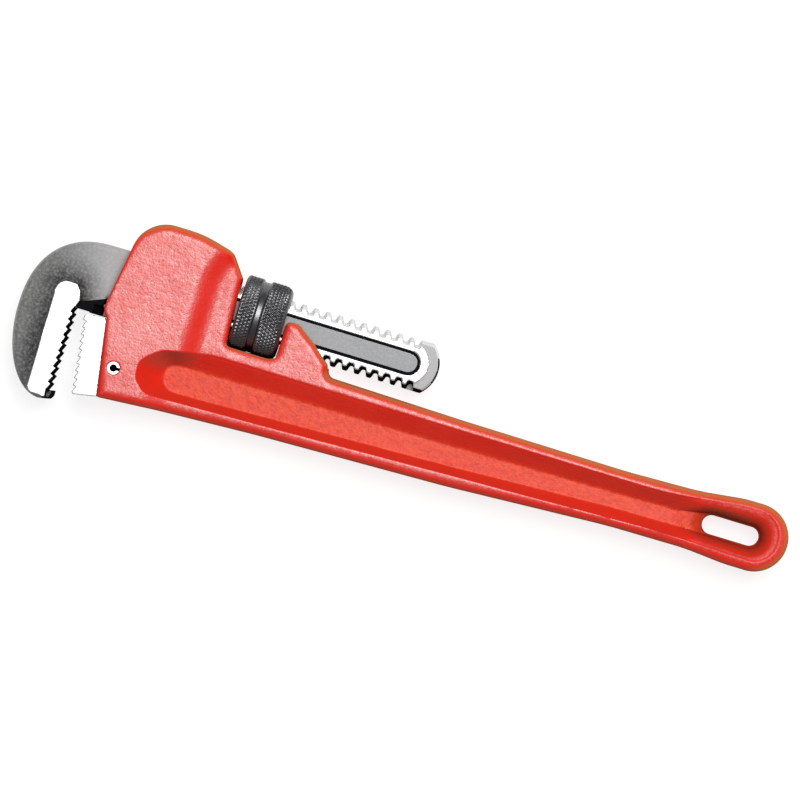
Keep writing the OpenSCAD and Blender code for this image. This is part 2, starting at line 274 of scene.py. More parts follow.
def mesh_piece(name, points, quads, sharp_degrees):
    """A smooth Blender object from workshop points in millimetres and an array of quads."""
    mesh = bpy.data.meshes.new(name)
    points = PIN + MM * np.asarray(points)
    mesh.vertices.add(len(points))
    mesh.vertices.foreach_set("co", points.ravel())
    mesh.loops.add(quads.size)
    mesh.loops.foreach_set("vertex_index", quads.ravel().astype(np.int32))
    mesh.polygons.add(len(quads))
    mesh.polygons.foreach_set("loop_start", np.arange(len(quads), dtype=np.int32) * 4)
    mesh.update(calc_edges=True)
    mesh.validate()
    mesh.polygons.foreach_set("use_smooth", np.ones(len(mesh.polygons), bool))
    mesh.set_sharp_from_angle(angle=math.radians(sharp_degrees))
    piece = bpy.data.objects.new(name, mesh)
    bpy.context.scene.collection.objects.link(piece)
    return piece


def finish_piece(piece, body, node, material):
    """Material, body, CAD node and material slot of a piece."""
    piece.data.materials.append(material)
    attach(piece, body)
    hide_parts(node)


# ---------------------------------------------------------------- materials


class Nodes:
    """Short way to build one node material. Lengths in textures are in metres."""

    def __init__(self, name):
        self.material = bpy.data.materials.new(name)
        self.material.use_nodes = True
        self.tree = self.material.node_tree
        self.shader = self.tree.nodes["Principled BSDF"]
        self.place = self.tree.nodes.new("ShaderNodeTexCoord").outputs["Object"]

    def link(self, source, target):
        self.tree.links.new(source, target)

    def feed(self, socket, value):
        if isinstance(value, bpy.types.NodeSocket):
            self.link(value, socket)
        else:
            socket.default_value = value

    def math(self, operation, a, b=0.0):
        node = self.tree.nodes.new("ShaderNodeMath")
        node.operation = operation
        self.feed(node.inputs[0], a)
        self.feed(node.inputs[1], b)
        return node.outputs[0]

    def noise(self, size, detail=2.0, rough=0.5, place=None):
        """Noise whose features are about size metres across, 0 to 1."""
        node = self.tree.nodes.new("ShaderNodeTexNoise")
        self.link(place or self.place, node.inputs["Vector"])
        node.inputs["Scale"].default_value = 1 / size
        node.inputs["Detail"].default_value = detail
        node.inputs["Roughness"].default_value = rough
        return node.outputs["Fac"]

    def ramp(self, value, low, high, out_low=0.0, out_high=1.0):
        node = self.tree.nodes.new("ShaderNodeMapRange")
        self.feed(node.inputs["Value"], value)
        for name, number in zip(("From Min", "From Max", "To Min", "To Max"),
                                (low, high, out_low, out_high)):
            node.inputs[name].default_value = number
        return node.outputs["Result"]

    def mix(self, factor, a, b):
        node = self.tree.nodes.new("ShaderNodeMix")
        node.data_type = "RGBA"
        self.feed(node.inputs["Factor"], factor)
        for socket, colour in ((node.inputs["A"], a), (node.inputs["B"], b)):
            self.feed(socket, colour if isinstance(colour, bpy.types.NodeSocket) else (*colour, 1))
        return node.outputs["Result"]

    def split(self, vector):
        node = self.tree.nodes.new("ShaderNodeSeparateXYZ")
        self.link(vector, node.inputs[0])
        return node.outputs

    def stretched(self, scale):
        node = self.tree.nodes.new("ShaderNodeMapping")
        self.link(self.place, node.inputs["Vector"])
        node.inputs["Scale"].default_value = scale
        return node.outputs["Vector"]

    def normal(self):
        """X, Y and Z of the surface's own direction, in the object's frame."""
        node = self.tree.nodes.new("ShaderNodeTexCoord")
        return self.split(node.outputs["Normal"])

    def facing(self):
        """1 on the two broad faces of the wrench, 0 on its edges."""
        return self.math("ABSOLUTE", self.normal()[2])

    def bump(self, height, distance):
        """Bump of that height in metres, on top of any earlier one."""
        node = self.tree.nodes.new("ShaderNodeBump")
        node.inputs["Strength"].default_value = 1.0
        node.inputs["Distance"].default_value = distance
        self.link(height, node.inputs["Height"])
        earlier = self.shader.inputs["Normal"]
        if earlier.is_linked:
            self.link(earlier.links[0].from_socket, node.inputs["Normal"])
        self.link(node.outputs["Normal"], earlier)

    def above(self, value, limit):
        return self.math("GREATER_THAN", value, limit)

    def below(self, value, limit):
        return self.math("LESS_THAN", value, limit)

    def within(self, value, low, high):
        return self.every(self.above(value, low), self.below(value, high))

    def every(self, *factors):
        """Product of masks: full only where all of them are."""
        result = factors[0]
        for factor in factors[1:]:
            result = self.math("MULTIPLY", result, factor)
        return result

    def most(self, *factors):
        """Largest of some masks."""
        result = factors[0]
        for factor in factors[1:]:
            result = self.math("MAXIMUM", result, factor)
        return result

    def workshop(self):
        """X, Y from the pin and the distance from the middle plane, in millimetres."""
        x, y, z = [self.math("MULTIPLY", self.math("SUBTRACT", part, float(PIN[i])), 1000)
                   for i, part in enumerate(self.split(self.place)[:3])]
        return x, y, self.math("ABSOLUTE", z)

    def from_bar(self, x, y, start, length_x, length_y, half):
        """Distance in millimetres from the outline of a bar with round ends."""
        near_x = self.math("SUBTRACT", x, self.clamp(x, start[0], start[0] + length_x))
        near_y = self.math("SUBTRACT", y, self.clamp(y, start[1], start[1] + length_y))
        far = self.math("ADD", self.math("POWER", near_x, 2), self.math("POWER", near_y, 2))
        return self.math("SUBTRACT", self.math("SQRT", far), half)

    def clamp(self, value, low, high):
        return self.math("MINIMUM", self.math("MAXIMUM", value, low), high)

    def set(self, **values):
        """Inputs of the shader by short name; returns the finished material."""
        names = {"colour": "Base Color", "rough": "Roughness", "metal": "Metallic", "ior": "IOR",
                 "specular": "Specular IOR Level"}
        for key, value in values.items():
            if key == "colour" and not isinstance(value, bpy.types.NodeSocket):
                value = (*value, 1)
            self.feed(self.shader.inputs[names[key]], value)
        return self.material


# Red paint in linear colours. Pairs are mixed by noise, apart from the walls': theirs are for walls
# that look towards the grip's lower edge and for all others, a painted shade and a painted lit
# copy.
# Flats, rounded parts and walls take their own reds by the way they face, as painted light and
# shade;
# the upper rim brown is a painted reflection, the lower rim brown, funnel, notch and black painted
# shade.
ROUND_REDS = (0.76, 0.014, 0.006), (0.80, 0.022, 0.010)
FLAT_REDS = (0.60, 0.022, 0.014), (0.72, 0.045, 0.030)
WEB_REDS = (0.62, 0.040, 0.014), (0.80, 0.085, 0.030)
SHADED_WALL_REDS = (0.46, 0.085, 0.055), (0.63, 0.040, 0.021)
RIM_REFLECTION_BROWN = (0.50, 0.165, 0.058)
LOW_RIM_SHADE_BROWN = (0.12, 0.022, 0.008)
FUNNEL_SHADE_RED = (0.38, 0.032, 0.015)
FUNNEL_SHADE_BROWN = (0.29, 0.060, 0.030)
NOTCH_SHADE_BROWN = (0.05, 0.012, 0.007)
BLACK = (0.004, 0.004, 0.004)

# Below this a surface counts as an upright edge and not as a face
UPRIGHT = 0.6


def paint():
    """Glossy red paint over a sand-cast surface: rougher on the web, browner on the sides as
    painted shade.
    """
    m = Nodes("red_paint")
    x, y, height = m.workshop()
    normal = m.normal()
    facing = m.facing()
    fine = m.noise(0.0009, 2.0, 0.6)
    grain = m.noise(0.0018, 3.0, 0.65)
    speckle = m.noise(0.0016, 2.0, 0.6)
    cast = m.noise(0.006, 2.0, 0.5)
    broad = m.noise(0.020, 3.0, 0.55)

    web = m.ramp(height, WEB_HALF + 0.3, WEB_HALF + 1.2, 1.0, 0.0)
    flat = m.ramp(facing, 0.90, 0.98)
    side = m.ramp(facing, 0.35, 0.90, 1.0, 0.0)
    # painted light and shade by facing: sides take the wall reds, flats their own, and walls that
    # look towards the grip's lower edge take the darker, browner one as painted shade
    walls = m.mix(m.ramp(normal[1], -0.5, -0.1), *SHADED_WALL_REDS)
    colour = m.mix(m.ramp(broad, 0.35, 0.65), *ROUND_REDS)
    colour = m.mix(flat, colour, m.mix(m.ramp(grain, 0.40, 0.62), *FLAT_REDS))
    colour = m.mix(m.every(web, 0.8), colour, m.mix(m.ramp(grain, 0.35, 0.65), *WEB_REDS))
    colour = m.mix(m.every(side, 0.95), colour, walls)

    # painted reflection in brown where the upper rim and the grip's end turn over, painted shade
    # along the lower rim
    funnel = m.from_bar(x, y, (SLOT_LOW[0] + SLOT_R, SLOT_LOW[1] + SLOT_R), SLOT_REACH, 0, SLOT_R)
    turning = m.ramp(facing, 0.04, 0.25)
    top = m.every(m.above(y, TOP_RIM_Y), m.ramp(normal[1], 0.10, 0.35))
    end = m.every(m.ramp(x, 255, 268), m.ramp(normal[0], 0.0, 0.4))
    rim = m.every(m.most(top, end), m.ramp(funnel, 5.5, 8.0))
    rim = m.every(rim, turning, m.ramp(facing, 0.60, 0.96, 1.0, 0.0))
    low_rim = m.every(turning, m.ramp(facing, 0.20, 0.45, 1.0, 0.0), m.below(y, LOW_RIM_Y))
    colour = m.mix(m.every(rim, 0.85), colour, RIM_REFLECTION_BROWN)
    colour = m.mix(m.every(low_rim, 0.35), colour, LOW_RIM_SHADE_BROWN)

    # painted shade: the hang slot's funnel is darker, most of all on the wall over the slot
    over_slot = m.every(m.ramp(normal[1], -0.1, -0.7), m.ramp(funnel, 1.0, 5.0, 1.0, 0.0))
    over_slot = m.every(over_slot, m.ramp(x, 258, 263, 1.0, 0.0))
    colour = m.mix(m.ramp(funnel, 0.5, 6.5, 0.95, 0.0), colour, FUNNEL_SHADE_RED)
    colour = m.mix(over_slot, colour, FUNNEL_SHADE_BROWN)

    # painted shade: dark brown on the edges of the nut's notch, and black on the lip over the heel
    # jaw, a dark piece put where there is only shade, and on the bottom of the pin's bore
    notch = m.every(m.within(x, NOTCH_FRONT_X - 1.1, NOTCH_REAR_X + 1.8),
                    m.above(y, NOTCH_FLOOR_Y - 2.4), m.below(facing, 0.5))
    lip = m.every(m.below(x, LIP_FROM_X), m.above(y, LIP_FROM_Y))
    painted_black = m.most(lip, m.below(m.from_bar(x, y, (0, 0), 0, 0, PIN_R), BORE_EDGE))
    colour = m.mix(notch, colour, NOTCH_SHADE_BROWN)
    colour = m.mix(painted_black, colour, BLACK)

    m.bump(cast, 0.00020)
    m.bump(grain, 0.00013)
    m.bump(fine, 0.00008)
    dull = m.ramp(m.every(m.math("ADD", broad, speckle), 0.5), 0.40, 0.60, 0.46, 0.08)
    dull = m.most(dull, m.every(web, 0.85), m.ramp(funnel, 4.0, 12.0, 1.0, 0.0))
    dull = m.most(dull, m.ramp(x, 190, 250, 0.0, 0.75), m.ramp(facing, 0.80, 0.975, 1.0, 0.0), painted_black)
    return m.set(colour=colour, rough=m.ramp(grain, 0.3, 0.7, 0.36, 0.48), ior=1.7,
                 specular=m.ramp(dull, 0, 1, 1.0, 0.0))


def scratched(m, stretch):
    """Fine grinding marks, long in one direction, and the bright colour that they vary."""
    scratch = m.noise(0.0006, 2.0, 0.5, m.stretched(stretch))
    return scratch, m.mix(scratch, (0.66, 0.66, 0.67), (0.76, 0.76, 0.77))


# Forged steel in linear colours, the grey of the scale with painted light and shade on it. The
# hook's back is the first shade, and the neck is the second; the darker back and the near black
# hollow are painted shade, and the lighter side is a painted reflection.
SCALE_AND_SHADE_BACKS = (0.115, 0.115, 0.11), (0.345, 0.345, 0.35)
SCALE_AND_REFLECTION_SIDE = (0.38, 0.38, 0.375)
SCALE_AND_SHADE_HOLLOW = (0.016, 0.016, 0.015)
SHANK_GREY = (0.30, 0.305, 0.315)
CREST_HIGHLIGHT_GREY = (0.75, 0.75, 0.75)
RUBBED_GREY = (0.5, 0.5, 0.5)
SPARKLE_GREY = (0.60, 0.60, 0.60)
TIP_GREY = (0.46, 0.46, 0.455)
SHADE_BLACK = (0.008, 0.008, 0.009)


def forged():
    """Grey forged steel with ground lands on the jaw block and the shank's rails."""
    m = Nodes("forged_steel")
    x, y, height = m.workshop()
    facing = m.facing()
    upright = m.below(facing, UPRIGHT)
    shank = m.above(x, NECK_END_X)
    grain = m.noise(0.0011, 3.0, 0.6)
    broad = m.noise(0.012, 3.0, 0.55)

    # forge scale with painted shade: near black in the hollow round the jaw block, darker towards
    # the hook's back, and lighter where the edges turn away, as a painted reflection
    hollow = m.from_bar(x, y, BLOCK_AXIS_LOW, 0, BLOCK_AXIS_LENGTH, BLOCK_AXIS_HALF)
    back = m.mix(m.ramp(x, -36, -14), *SCALE_AND_SHADE_BACKS)
    back = m.mix(m.ramp(facing, 0.5, 0.95, 0.7, 0.0), back, SCALE_AND_REFLECTION_SIDE)
    grey = m.mix(m.ramp(hollow, 2.5, 11.5), SCALE_AND_SHADE_HOLLOW, back)
    grey = m.mix(shank, grey, SHANK_GREY)
    # painted highlight: the shank's upper thread surfaces are painted light grey
    crest = m.every(shank, m.below(facing, 0.9), m.above(y, SHANK_Y))
    grey = m.mix(crest, grey, CREST_HIGHLIGHT_GREY)
    grey = m.mix(m.ramp(broad, 0.3, 0.7, 0.0, 0.25), grey, m.mix(0.5, grey, RUBBED_GREY))
    grey = m.mix(m.ramp(grain, 0.45, 0.75, 0.0, 0.28), grey, SPARKLE_GREY)
    tip = m.every(m.above(x, SHANK_END_X), m.above(height, SHANK_HALF - 0.7), m.above(facing, 0.5))
    grey = m.mix(m.every(tip, 0.8), grey, TIP_GREY)

    # painted shade in black: tooth flanks, the neck's underside with its cheeks, the panel's border
    # and the lower valleys of the thread
    teeth = m.every(m.within(x, -24.4, -20), m.below(y, 21.6), upright)
    from_neck_line = m.math("SUBTRACT", y, m.every(x, NECK_SLOPE))
    under = m.every(m.within(x, -21.5, -4), m.below(from_neck_line, NECK_LINE_Y))
    from_axis = m.math("ABSOLUTE", m.math("SUBTRACT", y, SHANK_Y))
    border = m.every(m.within(height, 3.5, 5.22), shank, m.below(from_axis, PANEL_R + 0.2))
    valley = m.every(shank, upright, m.below(y, SHANK_Y))
    black = m.most(teeth, under, border, valley)
    grey = m.mix(black, grey, SHADE_BLACK)

    land = m.above(height, BLOCK_HALF - 0.08)
    rail = m.every(m.above(height, SHANK_HALF - 0.08), shank)
    ground = m.most(land, rail)
    scratch, bright = scratched(m, (0.12, 1.0, 1.0))
    m.bump(m.every(grain, m.math("SUBTRACT", 1.0, ground)), 0.00008)
    m.bump(m.every(scratch, ground), 0.000006)
    return m.set(colour=m.mix(ground, grey, bright), rough=m.ramp(ground, 0, 1, 0.55, 0.42),
                 metal=m.ramp(ground, 0, 1, 0.0, 0.85), specular=m.ramp(black, 0, 1, 0.4, 0.0))


def ground_steel():
    """Bright ground sides, and hardened teeth painted near black with the other upright faces, as
    shade.
    """
    m = Nodes("ground_steel")
    upright = m.below(m.facing(), UPRIGHT)
    scratch, bright = scratched(m, (1.0, 0.12, 1.0))
    m.bump(scratch, 0.000006)
    # upright surfaces, the teeth among them, are painted near black: painted shade
    colour = m.mix(m.every(upright, 0.9), bright, (0.03, 0.03, 0.03))
    return m.set(colour=colour, rough=0.42, metal=m.ramp(upright, 0, 1, 0.85, 0.2))


def pin_steel():
    """Bright slotted pin, its bore and slit painted black as shade."""
    m = Nodes("pin_steel")
    upright = m.below(m.facing(), UPRIGHT)
    return m.set(colour=m.mix(upright, (0.80, 0.80, 0.81), BLACK), rough=0.4,
                 metal=m.math("SUBTRACT", 1.0, upright), specular=0.0)


def black_oxide():
    """Blackened steel of the nut, with a fine grain."""
    m = Nodes("black_oxide")
    grain = m.noise(0.0008, 3.0, 0.6)
    colour = m.mix(grain, (0.10, 0.10, 0.105), (0.17, 0.17, 0.175))
    m.bump(grain, 0.00002)
    return m.set(colour=colour, rough=0.34, metal=1.0)


def spring_steel(name, colour, rough):
    """Dull steel in a shade of its own, for the hidden small parts."""
    m = Nodes(name)
    grain = m.noise(0.0007, 2.0, 0.5)
    shade = m.mix(grain, tuple(0.8 * c for c in colour), colour)
    return m.set(colour=shade, rough=rough, metal=0.9)


# ---------------------------------------------------------------- handle

GRIP_HALF = 9.5
HOUSING_HALF = 14.0
WEB_HALF = 3.0
END_X = HANDLE_HIGH[0]
TOP_Y = HANDLE_HIGH[1]
GRIP_END_R = 13.7
END_R = GRIP_END_R - 0.01
END_LOW_Y = -4.3
END_TOP_Y = END_LOW_Y + 2 * GRIP_END_R

NOTCH_FLOOR_Y = 21.4
NOTCH_FRONT_X = 40.1
NOTCH_REAR_X = 60.2
NUT_HOLLOW_R = 16.0
PIN_HOLE_FLOOR_Z = -12.0
BORE_EDGE = 0.183
SEAT_TOP = (-8.3, 18.1)
SEAT_LOW = (-3.4, -13.0)
# Heights where the upper and lower rims begin, and where the lip's black painted shade begins
TOP_RIM_Y = 15.6
LOW_RIM_Y = -1.0
LIP_FROM_X = -10.6
LIP_FROM_Y = 18.0

# Cavity for the shank, slot between the ears, slot of the heel jaw's tongue, spring's pocket
CAVITY_FRONT_X = -11.5
CAVITY_LOW_Y = 22.2
CAVITY_HIGH_Y = 47.6
CAVITY_HALF = 7.0
EAR_SLOT_LOW_Y = 24.6
EAR_SLOT_HIGH_Y = 60.0
EAR_SLOT_END_X = 95.0
TONGUE_SLOT_FRONT_X = -14.0
TONGUE_SLOT_R = 6.7
TONGUE_SLOT_HALF = 4.6
POCKET_X = 9.0
POCKET_R = 4.8
POCKET_LOW_Y = 12.4
POCKET_HIGH_Y = 24.0

HANDLE_CORNERS = [
    (*SEAT_LOW, 1), (20, -11.3, 80), (60, -9.3, 150), (140, -6.9, 250), (206, -3.2, 150),
    (238, -2.9, 60), (255, END_LOW_Y, 40), (END_X, END_LOW_Y, END_R), (END_X, END_TOP_Y, END_R),
    (257, END_TOP_Y, 40), (238, 20.7, 60), (208, 19.8, 150), (140, 20.3, 250), (82.4, 21.4, 3),
    (81.4, 26.2, 3), (74, 32.8, 16), (66, 38.2, 4), (NOTCH_REAR_X + 0.3, 37.7, 2.2),
    (NOTCH_REAR_X, NOTCH_FLOOR_Y, 3.6), (NOTCH_FRONT_X, NOTCH_FLOOR_Y, 2), (38.4, 49, 1),
    (31.8, 58, 5), (19, TOP_Y, 45), (-4.7, TOP_Y, 14), (-10.3, 24, 3), (-10.4, 21.2, 2),
    (*SEAT_TOP, 0.5),
]
# The hollow between the flanges: its rim, and the flat web at its floor
RECESS_RIM = [
    (9.3, -1.5, 5), (14.5, -6.3, 7), (60, -5.0, 150), (140, -2.1, 200), (225, 0.6, 100),
    (256, -0.1, 40), (272.9, -0.4, 9.4), (273.1, 20.5, 10), (256, 20.4, 40), (225, 16.3, 100),
    (140, 16.3, 250), (37, 16.4, 30), (16.5, 12.6, 10), (8.6, 5.8, 6),
]
WEB_FLOOR = [
    (20.2, -2.6, 5.5), (33, -2.5, 40), (140, 1.2, 200), (205, 4.3, 80), (240, 4.8, 60),
    (266.4, 4.7, 4.4), (266.4, 13.7, 4.4), (246, 13.7, 12), (231, 10.9, 30), (205, 10.3, 100),
    (140, 9.3, 200), (60, 8.7, 100), (28, 8.5, 25), (18.8, 8.1, 4.5),
]
SLOT_LOW = (242.4, 5.4)
SLOT_HIGH = (265.8, 13.0)
SLOT_R = 3.8
SLOT_REACH = SLOT_HIGH[0] - SLOT_LOW[0] - 2 * SLOT_R
# The housing's lip over the heel jaw's top: a dark piece put where there is only shade, painted
# black in front of the housing
LIP = [(-6, 18.3), (-6, 22.2), (-11.6, 22.2), (-11.6, 23.3), (-16.3, 21.4), (-16.3, 18.3)]
LIP_HALF = 4.5


def box_corners(low, high, radius):
    """Corners of an upright rectangle, all with one radius."""
    return [(*low, radius), (high[0], low[1], radius), (*high, radius), (low[0], high[1], radius)]


def handle_field():
    """The casting: its rounded outline, the recess and the hang slot, less its cavities."""
    side = Outline(rounded(HANDLE_CORNERS))
    rim = Outline(rounded(RECESS_RIM))
    web = Outline(rounded(WEB_FLOOR))
    slot = Outline(rounded(box_corners(SLOT_LOW, SLOT_HIGH, SLOT_R - 0.01)))
    lip = Outline(LIP)
    front_x, r = TONGUE_SLOT_FRONT_X, TONGUE_SLOT_R
    tongue = [(front_x, -r, 0.1), (r, -r, r - 0.01), (r, r, r - 0.01), (front_x, r, 0.1)]
    tongue = Outline(rounded(tongue))

    def field(x, y, z):
        edge = side(x, y)
        across = np.abs(z)
        # the housing is thicker and slopes down to the frame round the nut and to the flanges
        upper = smooth(-2, 14, y)
        corner = smooth(44, 60, y)
        ramp = smooth(11 + 10 * upper + 4 * corner, 27 + 5.6 * upper + 4 * corner, x)
        base = HOUSING_HALF + (GRIP_HALF - HOUSING_HALF) * ramp
        # the recess rises from the flat web to its rim; the hang slot is a funnel of its own
        to_floor = np.maximum(web(x, y), 0)
        to_rim = np.maximum(-rim(x, y), 0)
        wall = to_floor / np.maximum(to_floor + to_rim, 1e-6)
        near_slot = smooth(228, 246, x)
        rise = wall + near_slot * (np.sqrt(1 - (1 - wall) ** 2) - wall)
        floor = WEB_HALF - 1.4 * smooth(229, 241, x)
        outside = smooth(-0.6, 0.6, rim(x, y))
        height = blend_min(base, floor + (base - floor) * rise + 2 * outside, 1.6)
        notch = smooth(14, 18, y) * smooth(26, 33, x) * (1 - smooth(62, 68, x))
        front = 1 - smooth(-9, 0, x)
        radius = 3.8 - 2.9 * front * (1 - notch)
        steep = 0.8 + 1.0 * notch
        solid = round_and(edge, steep * (across - height), radius)
        solid = np.minimum(solid, round_and(lip(x, y), across - LIP_HALF, 0.1))
        solid = round_and(solid, -slot(x, y), 1.0)
        # cavity for the shank, slot between the ears, heel jaw's slot, pin bore, spring pocket
        hollow = slab(y, CAVITY_LOW_Y, CAVITY_HIGH_Y)
        hollow = np.maximum(hollow, slab(x, CAVITY_FRONT_X, NOTCH_FRONT_X + 3))
        ears = slab(y, EAR_SLOT_LOW_Y, EAR_SLOT_HIGH_Y)
        ears = np.maximum(ears, slab(x, NOTCH_REAR_X - 3, EAR_SLOT_END_X))
        hollow = np.maximum(np.minimum(hollow, ears), across - CAVITY_HALF)
        around_nut = np.sqrt((y - SHANK_Y) ** 2 + z * z) - NUT_HOLLOW_R
        around_nut = np.maximum(around_nut, slab(x, NOTCH_FRONT_X, NOTCH_REAR_X))
        hollow = np.minimum(hollow, around_nut)
        hollow = np.minimum(hollow, np.maximum(tongue(x, y), across - TONGUE_SLOT_HALF))
        bore = np.maximum(np.sqrt(x * x + y * y) - PIN_R - 0.06, PIN_HOLE_FLOOR_Z - z)
        hollow = np.minimum(hollow, bore)
        pocket = np.sqrt((x - POCKET_X) ** 2 + z * z) - POCKET_R
        pocket = np.maximum(pocket, slab(y, POCKET_LOW_Y, POCKET_HIGH_Y))
        hollow = np.minimum(hollow, pocket)
        return round_and(solid, -hollow, 0.4)

    return field


def add_handle(material):
    points, quads = net_of(handle_field(), HANDLE_LOW, HANDLE_HIGH, 0.5)
    piece = mesh_piece("handle_casting", points, quads, 50)
    finish_piece(piece, "handle_assembly", "handle", material)


# ---------------------------------------------------------------- hook jaw

SHANK_Y = 36.0
SHANK_HALF = 6.0
THREAD_R = 10.3
ROOT_R = 7.85
ROOT_DROP = 6.7
PITCH = 5.0
FIRST_GROOVE_X = 32.8
SHANK_END_X = 110.5
SHANK_END_R = 13.5
SMOOTH_LOW_Y = 25.7
SMOOTH_TOP_Y = 46.6
END_RIM_W = 4.4
END_RIM_DROP = 0.5
GROOVE_HALF = 0.75
GROOVE_FLANK = 0.375
PLATE_HALF = 6.5
BLOCK_HALF = 10.5
COVE_W = 8.0
HOOK_BACK_X = HOOK_LOW[0]
HOOK_LOW_Y = HOOK_LOW[1]
HOOK_WIDE_Y = 13.4
CROWN_X = -14.0
CHIN_X = -25.2
# degrees between the points of the hook's rounded back
HOOK_STEP = 4
# The neck ends inside the housing; its underside lies along a slanting line
NECK_END_X = 12.0
NECK_SLOPE = 0.408
NECK_LINE_Y = 30.05
# Bar round which the forging hollows towards the jaw block
BLOCK_AXIS_LOW = (-26.6, -16.5)
BLOCK_AXIS_LENGTH = 40
BLOCK_AXIS_HALF = 4.8
SHANK_START_X = 14.0
PANEL_FRONT_X = 20.0
PANEL_REAR_X = 111.3
PANEL_R = 4.9
TOOTH_DEPTH = 1.3
# Two cheeks under the neck, which pass beside the flat spring: dark pieces put where there is only
# shade, painted black with the neck's underside
CHEEK = [(-22, 18.6), (-15, 18.6), (-15, 22.3), (-11.5, 22.3), (-11.5, 27), (-22, 27)]
CHEEK_INNER = 4.8


def hook_outline():
    """Side view of the forging up to the neck's end."""
    crown_size = (HOOK_BACK_X - CROWN_X, SMOOTH_TOP_Y - HOOK_WIDE_Y)
    chin_size = (HOOK_BACK_X - CHIN_X, HOOK_LOW_Y - HOOK_WIDE_Y)
    crown = [quarter((CROWN_X, HOOK_WIDE_Y), crown_size, a, 2.35) for a in range(90, 0, -HOOK_STEP)]
    chin = [quarter((CHIN_X, HOOK_WIDE_Y), chin_size, a, 2) for a in range(0, 91, HOOK_STEP)]
    throat = [(-21.6, HOOK_LOW_Y + 0.8), (-20.6, -17.8), (-20.6, -15.6), (-24.6, -16.4),
              (-24.6, 21), (-20.8, 21.5), (-10.5, SMOOTH_LOW_Y), (NECK_END_X, SMOOTH_LOW_Y),
              (NECK_END_X, SMOOTH_TOP_Y)]
    return crown + chin + throat


def block_outline():
    """Side view of the toothed block on the hook."""
    top = rounded([(-22, 27.8, 0.01), (-31.5, 28, 4.4), (-31.1, -18.7, 2.5), (-23, -18.9, 0.01)])
    teeth = saw((-21.7, 19.4), (-22.2, -13.2), 11, TOOTH_DEPTH, 1, False)
    right = [(-20.8, 21.5), (-21.6, 25.4), (-23.4, 27.6)]
    return right + list(top) + [(-23.2, -18.8)] + teeth[::-1]


def thread_field(x, y, z):
    """The shank: a threaded round between two flats, with a shallow panel on each side."""
    up = y - SHANK_Y
    radius = np.sqrt(up * up + z * z)
    across = np.abs(z)
    turn = (x - FIRST_GROOVE_X) / PITCH - np.arctan2(z, up) / (2 * math.pi)
    middle = np.round(turn)
    last = (SHANK_END_X + 2 - FIRST_GROOVE_X) / PITCH
    middle = np.clip(middle, -0.6, last)
    off = np.abs(turn - middle) * PITCH
    root = np.sqrt((np.abs(up) + ROOT_DROP) ** 2 + z * z) - ROOT_DROP
    width = GROOVE_HALF + (radius - ROOT_R) * GROOVE_FLANK
    groove = round_and(off - width, ROOT_R - root, 0.5)
    end = np.sqrt((x - SHANK_END_X) ** 2 + up * up) - SHANK_END_R
    end = np.where(x > SHANK_END_X, end, -SHANK_END_R)
    bar = np.maximum(radius - THREAD_R, SHANK_START_X - x)
    bar = np.maximum(bar, end)
    smooth_bar = np.maximum(slab(y, SMOOTH_LOW_Y, SMOOTH_TOP_Y), slab(x, -2, FIRST_GROOVE_X - 2.2))
    bar = np.minimum(np.maximum(bar, -groove), smooth_bar)
    reach = np.clip(x, PANEL_FRONT_X, PANEL_REAR_X)
    panel = np.sqrt((x - reach) ** 2 + up * up) - PANEL_R
    dip = 0.7 * smooth(0.15, -0.15, panel) + 0.6 * smooth(0.75, 0.3, np.abs(panel + 0.45))
    # the end is a forged rim, a little lower than the ground rails
    rim = END_RIM_DROP * smooth(-END_RIM_W - 0.15, -END_RIM_W + 0.15, end)
    bar = round_and(bar, across - SHANK_HALF + dip, 0.2)
    return np.maximum(bar, round_and(end, across - SHANK_HALF + rim, 1.6))


def hook_field():
    """The hook with its block and cheeks, in one with the threaded shank."""
    side = Outline(hook_outline())
    block = Outline(block_outline())
    cheek = Outline(CHEEK)

    def field(x, y, z):
        across = np.abs(z)
        land = block(x, y)
        # the forging rises to the block in a concave cove
        cove = np.clip(1 - land / COVE_W, 0, 1)
        height = PLATE_HALF + (BLOCK_HALF - 0.15 - PLATE_HALF) * (1 - np.sqrt(1 - cove ** 2))
        forged_part = round_and(side(x, y), across - height, 2.2)
        jaw = round_and(land, across - BLOCK_HALF, 0.15)
        cheeks = round_and(cheek(x, y), slab(across, CHEEK_INNER, PLATE_HALF), 0.1)
        head = np.minimum(np.minimum(forged_part, jaw), cheeks)
        return np.minimum(head, thread_field(x, y, z))

    return field


def add_hook(material):
    points, quads = net_of(hook_field(), HOOK_LOW, HOOK_HIGH, 0.4)
    piece = mesh_piece("hook_forging", points, quads, 40)
    finish_piece(piece, "hook_jaw", "hook_jaw", material)


# ---------------------------------------------------------------- heel jaw

TONGUE_R = 6.5
TONGUE_HALF = 4.5
TONGUE_FRONT_X = -8.0


def heel_field():
    """The toothed insert and its tongue, bored for the pin."""
    teeth = saw((-17.3, 14.9), (-13.8, -11.2), 10, TOOTH_DEPTH, -1, True)
    outline = [(SEAT_TOP[0] - 0.05, SEAT_TOP[1] - 0.6), (-9.4, 18), (-16.6, 17.5), (-17.2, 16.8)]
    outline += teeth + [(-13.4, -13.8), (-12.8, -14.6), (-5, -13.2),
                        (SEAT_LOW[0] - 0.05, SEAT_LOW[1] + 0.3)]
    block = Outline(outline)

    def field(x, y, z):
        across = np.abs(z)
        body = round_and(block(x, y), across - BLOCK_HALF, 0.3)
        tongue = np.where(x > 0, np.sqrt(x * x + y * y) - TONGUE_R, np.abs(y) - TONGUE_R)
        tongue = np.maximum(np.maximum(tongue, TONGUE_FRONT_X - x), across - TONGUE_HALF)
        bore = np.sqrt(x * x + y * y) - PIN_R - 0.05
        return np.maximum(np.minimum(body, tongue), -bore)

    return field


